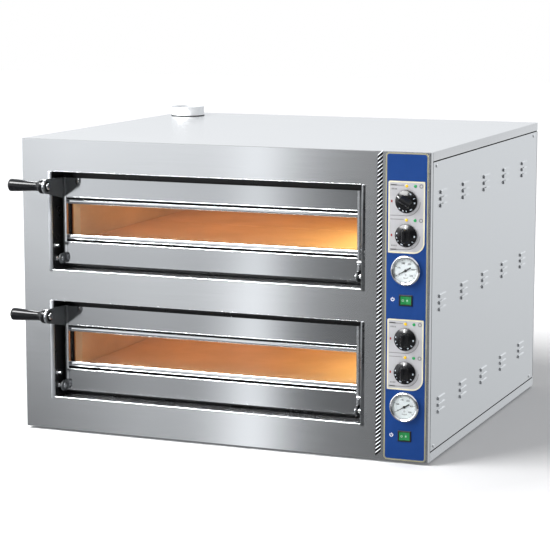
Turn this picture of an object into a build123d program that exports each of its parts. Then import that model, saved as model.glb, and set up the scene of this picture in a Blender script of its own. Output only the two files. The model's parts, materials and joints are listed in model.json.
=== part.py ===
"""Two-deck electric pizza oven: casing, baking chambers, drop-down doors, controls and wiring entry.

Lengths are millimetres. Every piece is modelled in body coordinates: x from the casing's left side,
y (called depth) from the fascia's front face towards the back, z from the casing's underside. save()
then moves it to the row frame, whose origin is the bottom centre of the whole oven, on the counter.
"""

from math import asin, cos, degrees, radians, sin
import os

from build123d import *

# Casing
BODY_W = 1020.0
BODY_D = 920.0
BODY_H = 700.0
FOOT_H = 6.0
SHEET = 1.5
RETURN_D = 14.0          # depth of the fascia's side returns
SEAM = 3.0               # open joint round each side panel
SKIRT_H = 20.5           # height of the top cover's and base pan's side flanges
STRIP_H = 42.0           # height of the strips behind the panels that their screws go into
COMPARTMENT_X = 884.0    # bulkhead between the chambers and the controls

# Decks: heights inside a deck are measured from the bottom edge of its opening
DECKS = {"lower": 77.5, "upper": 387.5}
OPENING_X = (78.0, 858.0)
OPENING_H = 235.5
DECK_MID_X = sum(OPENING_X) / 2
SILL_D = 50.0
BEAD_R = 4.75
RECESS_D = 62.0          # depth of the black recess the door sits in

# Chamber
CHAMBER_X = (108.0, 828.0)
CHAMBER_D = (90.0, 810.0)
LINER_BASE_H = 28.0
STONE_T = 14.0
FLOOR_H = 66.5
CEILING_H = 206.5
LEDGE = 14.0             # width of the ledges under the stones' ends
MOUTH_X = (96.0, 840.0)
MOUTH_H = (58.0, 212.0)
ELEMENT_R = 4.0
ELEMENT_DEPTHS = (190.0, 430.0, 670.0)
ELEMENT_GAP = 80.0
ELEMENT_HEIGHTS = (38.0, 197.0)
LAMP_D, LAMP_H, LAMP_R = 330.0, 128.0, 23.5

# Side and rear panels
LOUVER_L, LOUVER_H = 49.0, 3.0     # length, and how far a louver stands out of its panel
LOUVER_DEPTHS = (94.0, 268.0, 442.0, 616.0, 790.0)
LOUVER_ROWS = (120.0, 355.5, 591.0)
LOUVER_PITCH = 15.3
PANEL_SCREWS = [(d, z) for d in (40.0, 880.0) for z in (32.0, 668.0)]
REAR_SCREWS = [(x, z) for x in (40.0, 510.0, 980.0) for z in (32.0, 668.0)]

# Steam outlet
FLUE_XD = (72.0, 800.0)
FLUE_R = 30.0
COLLAR_R = 44.0
COLLAR_H = 25.5
PORT_D = (771.0, 799.0)
PORT_H = (151.0, 189.0)

# Door
DOOR_X = (93.5, 842.5)
DOOR_D = (34.0, 59.0)
DOOR_H = (12.5, 218.0)
LOWER_PANEL_TOP = 63.5
UPPER_RAIL_BOTTOM = 171.0
GLASS_D = (50.0, 54.0)
LOWER_TRIM_H = (68.5, 81.0)
UPPER_TRIM_H = (154.7, 165.8)
PIVOT_D, PIVOT_H, PIVOT_R = 20.0, 25.0, 5.0
ARM_T = 3.0
ARM_FOOT_R = 12.5
STOP_DH = (11.0, 57.5)
STOP_R, LUG_R = 4.0, 3.5

# Door handle
HANDLE_DH = (-42.5, 204.0)
HANDLE_R = 17.5
FERRULE_T = 4.5
GRIP_R, GRIP_END_X = 15.0, -12.0

# Controls
SLOT_COUNT = 75
SLOT_X = (895.5, 908.0)
SLOT_Z0, SLOT_PITCH, SLOT_H = 7.0, 9.13, 5.2
OVERLAY_X, OVERLAY_Z, OVERLAY_T = (915.0, 1014.5), (1.5, 698.0), 0.5
PLATE_X, PLATE_H, PLATE_T = (922.0, 1007.0), (86.5, 247.5), 0.8
CONTROL_X = 964.5
KNOB_HEIGHTS = {"top": 202.3, "bottom": 126.2}
KNOB_R = 25.5
SPINDLE_R = 3.0
BUSH_R = 5.0
GAUGE_H, GAUGE_R, GAUGE_CAN_R, DIAL_R = 48.0, 34.0, 31.0, 28.0
ROCKER_H, ROCKER_SIZE = -19.7, (31.7, 25.0)
ROCKER_TILT = 7.0
LAMP_ROW_RISE = 34.8     # indicator lamps above each knob's centre
INDICATORS = {"amber": 964.5, "green": 984.5}
INDICATOR_R = 3.6

# Rear
GLAND_XZ = (950.0, 60.0)
GLAND_REACH = 22.0
CABLE_R = 7.0

FIT = 0.05               # radial clearance of a running fit
GAP = 0.1                # radial clearance of a hole round a fixed piece

FRONT_REACH = HANDLE_R - HANDLE_DH[0]
ROW_SHIFT = (
    -(GRIP_END_X + BODY_W + LOUVER_H) / 2,
    -(BODY_D + GLAND_REACH - FRONT_REACH) / 2,
    FOOT_H,
)


def save(name, *solids):
    """Write one node: its solids, moved from body coordinates to the row frame."""
    shape = solids[0] if len(solids) == 1 else Compound(children=list(solids))
    export_step(Pos(*ROW_SHIFT) * shape, f"parts/{name}.step")


def slab(x, depth, z):
    """A box given by its (low, high) pairs along x, depth and z."""
    size = [pair[1] - pair[0] for pair in (x, depth, z)]
    centre = [(pair[1] + pair[0]) / 2 for pair in (x, depth, z)]
    return Pos(*centre) * Box(*size)


def rod(axis, radius, span, across):
    """A cylinder along "x", "y" or "z" from span[0] to span[1]; across is its other two coordinates."""
    middle = (span[0] + span[1]) / 2
    turn = {"x": Rot(0, 90, 0), "y": Rot(90, 0, 0), "z": Rot(0, 0, 0)}[axis]
    place = list(across)
    place.insert("xyz".index(axis), middle)
    return Pos(*place) * turn * Cylinder(radius, span[1] - span[0])


def plate(axis, outline, span):
    """An outline in the plane across axis ("x": depth, z; "y": x, z), extruded over span along it."""
    if axis == "x":
        plane = Plane(origin=(span[0], 0, 0), x_dir=(0, 1, 0), z_dir=(1, 0, 0))
        return extrude(plane * outline, span[1] - span[0])
    plane = Plane(origin=(0, span[1], 0), x_dir=(1, 0, 0), z_dir=(0, -1, 0))
    return extrude(plane * outline, span[1] - span[0])


def turned(profile, x, z):
    """A profile of (radius, depth) points, revolved about the front-to-back axis at x, z."""
    face = make_face(Polyline(*[(r, d) for r, d in profile], close=True))
    return Pos(x, 0, z) * revolve(face, Axis.Y)


def raised(pair, base):
    """A (low, high) pair of heights in a deck, as heights above the casing's underside."""
    return (pair[0] + base, pair[1] + base)


def mirrored(solid):
    """The same piece on the other side of the opening."""
    return mirror(solid, Plane.YZ.offset(DECK_MID_X))


# ---------------------------------------------------------------- casing

def folds(z):
    """The folded sides and rear edge of the base pan or top cover."""
    rear = slab((SHEET, BODY_W - SHEET), (BODY_D - SHEET, BODY_D), z)
    sides = [slab((x, x + SHEET), (RETURN_D + SHEET, BODY_D), z) for x in (0, BODY_W - SHEET)]
    return rear + sides[0] + sides[1]


def strips(z):
    """The tapped strips welded inside the folds, which the side and rear panels are screwed to."""
    rear = slab((4, BODY_W - 4), (BODY_D - 2 * SHEET, BODY_D - SHEET), z)
    sides = [slab((x, x + SHEET), (RETURN_D + 5, BODY_D - 6), z) for x in (SHEET, BODY_W - 2 * SHEET)]
    tapped = [rod("x", 2.0 + GAP, (-1, BODY_W + 1), spot) for spot in PANEL_SCREWS]
    tapped += [rod("y", 2.0 + GAP, (BODY_D - 5, BODY_D + 1), spot) for spot in REAR_SCREWS]
    return [strip.cut(*tapped) for strip in (rear, *sides)]


def base_pan():
    pan = slab((0, BODY_W), (RETURN_D + SHEET, BODY_D), (0, SHEET))
    return [pan + folds((SHEET, SKIRT_H)), *strips((SHEET, STRIP_H))]


def feet():
    inset = 60.0
    radius = 22.0
    spots = [(x, d) for x in (inset, BODY_W - inset) for d in (inset, BODY_D - inset)]
    foot = chamfer(Cylinder(radius, FOOT_H).edges().group_by(Axis.Z)[0], 1.0)
    return [Pos(x, d, -FOOT_H / 2) * foot for x, d in spots]


def top_cover():
    top = BODY_H - SHEET
    cover = slab((0, BODY_W), (0, BODY_D), (top, BODY_H))
    cover += folds((BODY_H - SKIRT_H, top))
    long_edges = cover.edges().filter_by(Axis.Y).group_by(Axis.Z)[-1]
    cover = fillet(long_edges, 1.2) - rod("z", FLUE_R, (top - 1, BODY_H + 1), FLUE_XD)
    return [cover, *strips((BODY_H - STRIP_H, top))]


def louvers(spots, side):
    """Pressed louvers at (depth, z) spots of a side panel: the hoods, and the slots cut behind them."""
    drop, shoulder, wall = 8.6, 2.2, 1.1
    half, low = LOUVER_L / 2, -drop / 2
    hood = make_face(Polyline((0, -low), (0, low), (LOUVER_H, low), (LOUVER_H, -low - shoulder), close=True))
    hood = plate("y", hood, (-half, half))
    throat = LOUVER_H - wall
    roof = -low - shoulder - wall
    slot = make_face(Polyline((-SHEET - 1, roof), (-SHEET - 1, low - 1), (throat, low - 1), (throat, roof),
                              (0, -low - 1.6), close=True))
    slot = plate("y", slot, (wall - half, half - wall))
    face = BODY_W if side > 0 else 0.0
    turn = Rot(0, 0, 0) if side > 0 else Rot(0, 0, 180)
    hoods = [Pos(face, d, z) * turn * hood for d, z in spots]
    slots = [Pos(face, d, z) * turn * slot for d, z in spots]
    return hoods, slots


def side_panel(side):
    """A louvered side panel with folded front and rear edges; side is +1 for the right, -1 for the left."""
    depth = (RETURN_D + SEAM, BODY_D - SHEET - SEAM)
    z = (SKIRT_H + SEAM, BODY_H - SKIRT_H - SEAM)
    skin = (BODY_W - SHEET, BODY_W) if side > 0 else (0, SHEET)
    fold = (BODY_W - 14, BODY_W - SHEET) if side > 0 else (SHEET, 14)
    panel = slab(skin, depth, z)
    panel += slab(fold, (depth[0], depth[0] + SHEET), z)
    panel += slab(fold, (depth[1] - SHEET, depth[1]), z)
    spots = [
        (d, row + step * LOUVER_PITCH) for d in LOUVER_DEPTHS for row in LOUVER_ROWS for step in (-1, 0, 1)
    ]
    hoods, slots = louvers(spots, side)
    panel = panel.fuse(*hoods).cut(*slots)
    holes = [rod("x", 2.0 + GAP, (skin[0] - 1, skin[1] + 1), spot) for spot in PANEL_SCREWS]
    return panel.cut(*holes)


def rear_panel():
    skin = (BODY_D - SHEET, BODY_D)
    panel = slab((0, BODY_W), skin, (SKIRT_H + SEAM, BODY_H - SKIRT_H - SEAM))
    cuts = [rod("y", 2.0 + GAP, (skin[0] - 1, skin[1] + 1), spot) for spot in REAR_SCREWS]
    cuts.append(rod("y", 10.0 + GAP, (skin[0] - 1, skin[1] + 1), GLAND_XZ))
    for row in (150.0, 430.0, 560.0):
        for step in range(6):
            z = row + step * 12.0
            cuts.append(slab((910, 985), (skin[0] - 1, skin[1] + 1), (z, z + 3.5)))
    return panel.cut(*cuts)


def panel_screw(face, direction):
    """A pan-head screw at the origin: head outside, shank through the sheet, along x."""
    head = Pos(1.0 * direction, 0, 0) * Rot(0, 90, 0) * Cylinder(4.2, 2.0)
    head = fillet(head.edges().group_by(Axis.X)[-1 if direction > 0 else 0], 1.2)
    shank = Pos(-5.0 * direction, 0, 0) * Rot(0, 90, 0) * Cylinder(2.0, 10.0)
    return Pos(face, 0, 0) * (head + shank)


def panel_screws():
    right = panel_screw(BODY_W, 1)
    left = panel_screw(0, -1)
    rear = Rot(0, 0, 90) * panel_screw(0, 1)
    solids = [Pos(0, d, z) * screw for screw in (right, left) for d, z in PANEL_SCREWS]
    solids += [Pos(x, BODY_D, z) * rear for x, z in REAR_SCREWS]
    return solids


def vent_slot(index):
    z = SLOT_Z0 + index * SLOT_PITCH
    x0, x1 = SLOT_X
    rise = 11.0
    corners = [(x0, z), (x1, z + rise), (x1, z + rise + SLOT_H), (x0, z + SLOT_H)]
    return plate("y", make_face(Polyline(*corners, close=True)), (-1, SHEET + 1))


def control_holes(depth):
    """The holes that the spindles, gauges, rockers and lamps pass through in a sheet over depth."""
    holes = []
    for base in DECKS.values():
        for height in KNOB_HEIGHTS.values():
            holes.append(rod("y", BUSH_R + GAP, depth, (CONTROL_X, base + height)))
            for x in INDICATORS.values():
                holes.append(rod("y", INDICATOR_R, depth, (x, base + height + LAMP_ROW_RISE)))
        holes.append(rod("y", GAUGE_CAN_R + GAP, depth, (CONTROL_X, base + GAUGE_H)))
        half_w, half_h = 13.6 + GAP, 10.6 + GAP
        z = base + ROCKER_H
        holes.append(slab((CONTROL_X - half_w, CONTROL_X + half_w), depth, (z - half_h, z + half_h)))
    return holes


def front_fascia():
    top = BODY_H - SHEET
    sheet = slab((0, BODY_W), (0, SHEET), (0, top))
    for x in (0, BODY_W - SHEET):
        sheet += slab((x, x + SHEET), (0, RETURN_D), (0, top))
    sheet += slab((SHEET, BODY_W - SHEET), (SHEET, RETURN_D), (top - SHEET, top))
    sheet += slab((SHEET, BODY_W - SHEET), (SHEET, RETURN_D), (0, SHEET))
    corners = sheet.edges().filter_by(Axis.Z).group_by(Axis.Y)[0]
    sheet = fillet(corners, 2.0)
    cuts = [slab(OPENING_X, (-1, SHEET + 1), (z, z + OPENING_H)) for z in DECKS.values()]
    cuts += [vent_slot(index) for index in range(SLOT_COUNT)]
    cuts += control_holes((-1, SHEET + 1))
    sheet = sheet.cut(*cuts)
    for z in DECKS.values():
        sheet += slab(OPENING_X, (0, SILL_D), (z - SHEET, z))
        sheet += slab(OPENING_X, (0, 12), (z + OPENING_H, z + OPENING_H + SHEET))
        bead = rod("z", BEAD_R, (z - 3.5, z + OPENING_H), (OPENING_X[0] - BEAD_R, 1.0))
        bead = fillet(bead.edges(), 1.5)
        sheet += bead
        sheet += mirrored(bead)
    return sheet


def control_overlay():
    size = (OVERLAY_X[1] - OVERLAY_X[0], OVERLAY_Z[1] - OVERLAY_Z[0])
    centre = (sum(OVERLAY_X) / 2, sum(OVERLAY_Z) / 2)
    film = plate("y", Pos(*centre) * RectangleRounded(*size, 8.0), (-OVERLAY_T, 0))
    return film.cut(*control_holes((-5, 1)))


def control_plate(base):
    """A printed plate round a deck's two knobs, with one large rounded corner at its lower right."""
    small, large = 4.0, 26.0
    (x0, x1), (z0, z1) = PLATE_X, raised(PLATE_H, base)
    face = make_face(Polyline((x0, z0), (x1, z0), (x1, z1), (x0, z1), close=True))
    corners = face.vertices().sort_by(lambda corner: corner.X - corner.Y)
    face = fillet(corners[-1:], large)
    face = fillet(face.vertices().sort_by(lambda corner: corner.X - corner.Y)[:1], small)
    solid = plate("y", face, (-OVERLAY_T - PLATE_T, -OVERLAY_T))
    return solid.cut(*control_holes((-5, 1)))


def control_bulkhead():
    """The wall between the insulated chambers and the control compartment."""
    depth = (66, BODY_D - SHEET - SEAM)
    sheet = slab((COMPARTMENT_X, COMPARTMENT_X + SHEET), depth, (SHEET, BODY_H - 2 * SHEET))
    holes = []
    for base in DECKS.values():
        span = (COMPARTMENT_X - 1, COMPARTMENT_X + 3)
        holes += [rod("x", ELEMENT_R + 1, span, leg) for leg in element_legs(base)]
        holes.append(rod("x", 6, span, (LAMP_D, base + LAMP_H)))
    return sheet.cut(*holes)


# ---------------------------------------------------------------- chambers

def recess_frame(base):
    """The black tray behind an opening: four walls and a back with the chamber mouth cut in it."""
    low, high = base - 2 * SHEET, base + OPENING_H + 2 * SHEET
    x0, x1 = OPENING_X
    depth = (BEAD_R + 1.25, RECESS_D + SHEET)
    walls = slab((x0 - SHEET, x0), depth, (low, high)) + slab((x1, x1 + SHEET), depth, (low, high))
    walls += slab((x0, x1), depth, (low, low + SHEET)) + slab((x0, x1), depth, (high - SHEET, high))
    back = slab((x0, x1), (RECESS_D, RECESS_D + SHEET), (low + SHEET, high - SHEET))
    mouth_z = raised((MOUTH_H[0] - 1, MOUTH_H[1] + 1), base)
    back -= slab((MOUTH_X[0] - 1, MOUTH_X[1] + 1), (RECESS_D - 1, RECESS_D + 3), mouth_z)
    walls += back
    for depth_at, height, radius in ((PIVOT_D, PIVOT_H, 4.0), (*STOP_DH, 3.0)):
        hole = rod("x", radius + GAP, (x0 - 3, x0 + 1), (depth_at, base + height))
        walls = walls.cut(hole, mirrored(hole))
    return walls


def funnel(base, grow):
    """The flared mouth of a chamber, or, grown by the sheet, its outside."""
    def section(depth, x, z):
        centre = (sum(x) / 2, depth, sum(z) / 2)
        plane = Plane(origin=centre, x_dir=(1, 0, 0), z_dir=(0, -1, 0))
        return plane * Rectangle(x[1] - x[0] + 2 * grow, z[1] - z[0] + 2 * grow)

    rear = section(CHAMBER_D[0] - SHEET, CHAMBER_X, raised((FLOOR_H - 4.5, CEILING_H), base))
    front = section(RECESS_D + SHEET + 0.2, MOUTH_X, raised(MOUTH_H, base))
    return loft([rear, front])


def element_legs(base):
    """Where the straight legs of a deck's heating elements run: (depth, z) of each."""
    return [
        (d + side * ELEMENT_GAP / 2, base + h)
        for h in ELEMENT_HEIGHTS
        for d in ELEMENT_DEPTHS
        for side in (-1, 1)
    ]


def chamber_liner(base):
    """The chamber's welded sheets: walls, apron below the mouth, flared mouth, and the stones' ledges."""
    x0, x1 = CHAMBER_X
    d0, d1 = CHAMBER_D
    low, high = raised((LINER_BASE_H, CEILING_H), base)
    mouth_low = base + FLOOR_H - 4.5
    over_x, over_d = (x0 - SHEET, x1 + SHEET), (d0 - SHEET, d1 + SHEET)
    tray = slab(over_x, over_d, (low - SHEET, low))
    ceiling = slab(over_x, over_d, (high, high + SHEET))
    left = slab((x0 - SHEET, x0), over_d, (low, high))
    left -= slab((x0 - SHEET - 1, x0 + 1), PORT_D, raised(PORT_H, base))
    right = slab((x1, x1 + SHEET), over_d, (low, high))
    wall = (x1 - 1, x1 + SHEET + 1)
    lamp_hole = rod("x", LAMP_R + GAP, wall, (LAMP_D, base + LAMP_H))
    right = right.cut(lamp_hole, *[rod("x", ELEMENT_R + GAP, wall, spot) for spot in element_legs(base)])
    rear = slab(CHAMBER_X, (d1, d1 + SHEET), (low, high))
    apron = slab(CHAMBER_X, (d0 - SHEET, d0), (low, mouth_low))

    flare = funnel(base, SHEET) - funnel(base, 0)
    reach = (RECESS_D, CHAMBER_D[0])
    bands = [(base, mouth_low), (high, high + 10)]
    flares = [flare & slab((x0 - 20, x1 + 20), reach, band) for band in bands]
    flares += [flare & slab(side, reach, (mouth_low, high)) for side in ((x0 - 20, x0), (x1, x1 + 20))]

    ledge_z = raised((FLOOR_H - STONE_T - SHEET, FLOOR_H - STONE_T), base)
    ledges = [slab((x0, x0 + LEDGE), CHAMBER_D, ledge_z), slab((x1 - LEDGE, x1), CHAMBER_D, ledge_z)]
    ledges.append(slab((x0 + LEDGE, x1 - LEDGE), (440, 460), ledge_z))
    return [tray, ceiling, left, right, rear, apron, *flares, *ledges]


def liner_block(base):
    return slab(
        (CHAMBER_X[0] - SHEET, CHAMBER_X[1] + SHEET),
        (CHAMBER_D[0] - SHEET, CHAMBER_D[1] + SHEET),
        raised((LINER_BASE_H - SHEET, CEILING_H + SHEET), base),
    )


def baking_stones(base):
    x = (CHAMBER_X[0] + 1, CHAMBER_X[1] - 1)
    z = raised((FLOOR_H - STONE_T, FLOOR_H), base)
    middle = sum(CHAMBER_D) / 2
    worn_edge = 3.0
    stones = []
    for depth in ((CHAMBER_D[0] + 0.5, middle - 0.6), (middle + 0.6, CHAMBER_D[1] - 0.5)):
        stone = slab(x, depth, z)
        stones.append(chamfer(stone.edges().group_by(Axis.Z)[-1], worn_edge))
    return stones


def heating_elements(base):
    """Hairpin tubular elements, three under the stones and three under the ceiling."""
    reach = COMPARTMENT_X + 14
    turn_x = CHAMBER_X[0] + 22 + ELEMENT_GAP / 2
    hairpins = []
    for height in ELEMENT_HEIGHTS:
        for depth in ELEMENT_DEPTHS:
            low, high = depth - ELEMENT_GAP / 2, depth + ELEMENT_GAP / 2
            level = Plane.XY.offset(base + height)
            line = level * Line((reach, low), (turn_x, low))
            line += level * RadiusArc((turn_x, low), (turn_x, high), ELEMENT_GAP / 2, short_sagitta=True)
            line += level * Line((turn_x, high), (reach, high))
            start = Plane(origin=(reach, low, base + height), z_dir=(-1, 0, 0))
            hairpins.append(sweep(start * Circle(ELEMENT_R), path=line))
    return hairpins


def insulation(base, z):
    block = slab((28, COMPARTMENT_X), (CHAMBER_D[0] - SHEET, 890), z)
    block -= liner_block(base)
    block -= slab((27, CHAMBER_X[0] - SHEET), (760, 840), (z[0] - 1, z[1] + 1))
    right = (CHAMBER_X[1] + SHEET - 1, COMPARTMENT_X + 1)
    holes = [rod("x", ELEMENT_R + 1, right, spot) for spot in element_legs(base)]
    holes.append(rod("x", 28.5, right, (LAMP_D, base + LAMP_H)))
    return block.cut(*holes)


def lamp_glass(base):
    face = CHAMBER_X[1]
    glass = rod("x", LAMP_R, (face - 4, face + SHEET + 2), (LAMP_D, base + LAMP_H))
    return fillet(glass.edges().group_by(Axis.X)[0], 2.5)


def lamp_holder(base):
    spot = (LAMP_D, base + LAMP_H)
    back = CHAMBER_X[1] + SHEET + 2
    holder = rod("x", 27.5, (back, back + 38), spot) - rod("x", 24.0, (back - 1, back + 34), spot)
    bulb = rod("x", 11.0, (back + 4, back + 30), spot)
    bulb = fillet(bulb.edges().group_by(Axis.X)[0], 10.0)
    cap = rod("x", 7.0, (back + 29, back + 35), spot)
    return holder + bulb + cap


def steam_flue():
    """A square duct up the left rear, open at the top, with a short port into each chamber."""
    (x0, x1), (d0, d1) = (30.0, 104.0), (762.0, 838.0)
    low, high = DECKS["lower"] + PORT_H[0] - 14, BODY_H - SHEET
    left = slab((x0, x0 + SHEET), (d0, d1), (low, high))
    right = slab((x1 - SHEET, x1), (d0, d1), (low, high))
    across = (x0 + SHEET, x1 - SHEET)
    front = slab(across, (d0, d0 + SHEET), (low, high))
    rear = slab(across, (d1 - SHEET, d1), (low, high))
    floor = slab(across, (d0 + SHEET, d1 - SHEET), (low, low + SHEET))
    sleeves = []
    span = (x1, CHAMBER_X[0] - SHEET)
    for base in DECKS.values():
        z0, z1 = raised(PORT_H, base)
        right -= slab((x1 - SHEET - 1, x1 + 1), PORT_D, (z0, z1))
        sleeves += [slab(span, PORT_D, (z0 - SHEET, z0)), slab(span, PORT_D, (z1, z1 + SHEET))]
        sides = ((PORT_D[0] - SHEET, PORT_D[0]), (PORT_D[1], PORT_D[1] + SHEET))
        sleeves += [slab(span, side, (z0 - SHEET, z1 + SHEET)) for side in sides]
    return [left, right, front, rear, floor, *sleeves]


def steam_collar():
    tube = rod("z", COLLAR_R, (BODY_H, BODY_H + COLLAR_H), FLUE_XD)
    tube -= rod("z", COLLAR_R - SHEET, (BODY_H + SHEET, BODY_H + COLLAR_H + 1), FLUE_XD)
    tube -= rod("z", FLUE_R, (BODY_H - 1, BODY_H + SHEET + 1), FLUE_XD)
    return tube


# ---------------------------------------------------------------- doors

def pivot_stud(base):
    """A shoulder stud that a door arm turns on, with a flange, a retaining ring and a hex socket."""
    spot = (PIVOT_D, base + PIVOT_H)
    wall = OPENING_X[0]
    ring_x = DOOR_X[0] + 0.4
    stud = rod("x", 4.0, (wall - 9, wall), spot)
    stud += rod("x", 7.5, (wall, wall + 3), spot)
    stud += rod("x", PIVOT_R, (wall + 3, ring_x + 3.2), spot)
    stud += rod("x", 6.8, (ring_x, ring_x + 1.6), spot)
    socket = extrude(Plane(origin=(ring_x + 1.0, *spot), z_dir=(1, 0, 0)) * RegularPolygon(2.8, 6), 4)
    return stud - socket


def stop_stud(base):
    """A plain stud short of the door arm, which the arm's lug meets when the door is open."""
    spot = (STOP_DH[0], base + STOP_DH[1])
    wall = OPENING_X[0]
    end = DOOR_X[0] - ARM_T - 0.6
    stud = rod("x", 3.0, (wall - 8, wall), spot)
    stud += rod("x", 6.0, (wall, wall + 2.5), spot)
    stud += rod("x", STOP_R, (wall + 2.5, end), spot)
    socket = extrude(Plane(origin=(end - 3, *spot), z_dir=(1, 0, 0)) * RegularPolygon(2.2, 6), 4)
    return stud - socket


def stop_lug_place():
    """Depth and height of the arm's lug, which meets the stop stud when the door is a quarter turn open."""
    out, up = PIVOT_D - STOP_DH[0], STOP_DH[1] - PIVOT_H
    radius = (out ** 2 + up ** 2) ** 0.5
    stud_angle = degrees(asin(out / radius))
    apart = degrees(2 * asin((STOP_R + LUG_R + 0.15) / 2 / radius))
    angle = radians(90 - (stud_angle - apart))
    return PIVOT_D + radius * sin(angle), PIVOT_H + radius * cos(angle)


def door_arm(base):
    """The left arm: a steel side plate whose rounded foot reaches forward to the pivot."""
    low, high = raised(DOOR_H, base)
    pivot_z = base + PIVOT_H
    x = (DOOR_X[0] - ARM_T, DOOR_X[0])
    outline = Pos(sum(DOOR_D) / 2, (low + high) / 2) * Rectangle(DOOR_D[1] - DOOR_D[0], high - low)
    foot = Pos((PIVOT_D + DOOR_D[0]) / 2, pivot_z) * Rectangle(DOOR_D[0] - PIVOT_D, 2 * ARM_FOOT_R)
    outline += foot + Pos(PIVOT_D, pivot_z) * Circle(ARM_FOOT_R)
    outline -= Pos(PIVOT_D, pivot_z) * Circle(PIVOT_R + FIT)
    lug_d, lug_h = stop_lug_place()
    return plate("x", outline, x) + rod("x", LUG_R, (x[0] - 6, x[0]), (lug_d, base + lug_h))


def door_frame(base):
    """The door's welded steel skin: lower panel, upper rail, end stiles and the frame behind the glass."""
    (x0, x1), (d0, d1) = DOOR_X, DOOR_D
    low, high = raised(DOOR_H, base)
    panel_top = base + LOWER_PANEL_TOP
    rail_bottom = base + UPPER_RAIL_BOTTOM
    front = (d0, d0 + SHEET)
    skin = slab((x0, x1), front, (low, panel_top)) + slab((x0, x1), front, (rail_bottom, high))
    skin += slab((x0, x1), (d0, GLASS_D[0]), (panel_top - SHEET, panel_top))
    skin += slab((x0, x1), (d0, GLASS_D[0] - 2), (rail_bottom, rail_bottom + SHEET))
    skin += slab((x0, x1), (d0, d1), (low, low + SHEET)) + slab((x0, x1), (d0, d1), (high - SHEET, high))
    stile = slab((x0, x0 + 6), front, (low, high)) + slab((x0, x0 + SHEET), (d0, d1), (low, high))
    stile += slab((x0 + 6 - SHEET, x0 + 6), (d0, d1), (low, high))
    skin += stile
    skin += mirrored(stile)
    rear = slab((x0, x1), (d1 - SHEET, d1), (low, high))
    rear += slab((x0 + 6, x1 - 6), (GLASS_D[1], d1), raised((72.0, 165.0), base))
    rear -= slab((x0 + 12, x1 - 12), (GLASS_D[0], d1 + 1), raised((78.0, 158.0), base))
    return skin + rear


def door_glass(base):
    return slab((DOOR_X[0] + 6.5, DOOR_X[1] - 6.5), GLASS_D, raised((66.0, 169.5), base))


def door_trims(base):
    bars = []
    for height in (LOWER_TRIM_H, UPPER_TRIM_H):
        bar = slab((DOOR_X[0] + 7, DOOR_X[1] - 7), (42, GLASS_D[0]), raised(height, base))
        bars.append(chamfer(bar.edges().filter_by(Axis.X).group_by(Axis.Y)[0], 1.5))
    return bars


def handle_bracket(base):
    """A steel lever plate on the left arm, from the door's rear edge forward to the handle."""
    depth, height = HANDLE_DH
    centre = (depth, base + height)
    low, high = raised((169.5, 217.5), base)
    rear = DOOR_D[1]
    face = make_face(Polyline((rear, low), (rear, high), (depth, centre[1] + HANDLE_R),
                              (depth, centre[1] - HANDLE_R), (DOOR_D[0], low), close=True))
    face += Pos(*centre) * Circle(HANDLE_R)
    face -= Pos(*centre) * Circle(4.0 + GAP)
    x = DOOR_X[0] - ARM_T
    return plate("x", face, (x - ARM_T, x))


def handle_fixings(base):
    """The chrome ferrule between plate and grip, and the domed screw through the plate."""
    spot = (HANDLE_DH[0], base + HANDLE_DH[1])
    face = DOOR_X[0] - ARM_T
    ferrule = rod("x", HANDLE_R - 0.5, (face - ARM_T - FERRULE_T, face - ARM_T), spot)
    ferrule = chamfer(ferrule.edges().group_by(Axis.X)[0], 1.0) - rod("x", 4.0 + GAP, (0, face), spot)
    head = rod("x", 8.0, (face, face + 4.5), spot)
    head = fillet(head.edges().group_by(Axis.X)[-1], 3.5)
    return ferrule, head + rod("x", 4.0, (face - 42, face), spot)


def handle_grip(base):
    """A turned phenolic grip: a flared collar, a narrow neck and a body that swells to its outer end."""
    face = DOOR_X[0] - 2 * ARM_T - FERRULE_T
    neck = face - 19
    neck_r, end_round = 11.2, 6.0
    outline = Polyline((0, face), (HANDLE_R - 1, face), (HANDLE_R - 1, face - 6), (neck_r, neck))
    swell = [(neck_r, neck), (13.3, 31.0), (GRIP_R, 2.0), (GRIP_R, GRIP_END_X + end_round)]
    outline += Spline(*swell, tangents=[(0.07, -1), (0, -1)])
    outline += RadiusArc((GRIP_R, GRIP_END_X + end_round), (GRIP_R - end_round, GRIP_END_X), -end_round)
    outline += Polyline((GRIP_R - end_round, GRIP_END_X), (0, GRIP_END_X), (0, face))
    body = revolve(make_face(outline), Axis.Y)
    body = Pos(0, HANDLE_DH[0], base + HANDLE_DH[1]) * Rot(0, 0, -90) * body
    return body - rod("x", 4.0 + GAP, (face - 38, face + 1), (HANDLE_DH[0], base + HANDLE_DH[1]))


# ---------------------------------------------------------------- controls

def thermostat(base, height):
    """A capillary control body behind the fascia, with the bush that its spindle turns in."""
    z = base + height
    front = -OVERLAY_T - PLATE_T
    body = slab((CONTROL_X - 21, CONTROL_X + 21), (SHEET, 42), (z - 21, z + 21))
    body += rod("y", BUSH_R, (front, SHEET), (CONTROL_X, z))
    return body - rod("y", SPINDLE_R + FIT, (front - 1, 26), (CONTROL_X, z))


def spindle(base, height):
    return rod("y", SPINDLE_R, (-17, 25), (CONTROL_X, base + height))


def knob(base, height, turn):
    """A round knob with a chamfered skirt and a raised bar across it; turn is in degrees, clockwise."""
    back = -OVERLAY_T - PLATE_T - 0.8
    profile = [(0, back), (KNOB_R, back), (KNOB_R, back - 3), (KNOB_R - 3.5, back - 9), (0, back - 9)]
    skirt = turned(profile, 0, 0)
    bar = slab((-5.5, 5.5), (back - 22, back - 9), (-KNOB_R + 5, KNOB_R - 4))
    bar = fillet(bar.edges().group_by(Axis.Y)[0], 2.0)
    body = skirt + bar - rod("y", SPINDLE_R, (-17.0, 0), (0, 0))
    return Pos(CONTROL_X, 0, base + height) * Rot(0, turn, 0) * body


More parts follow.
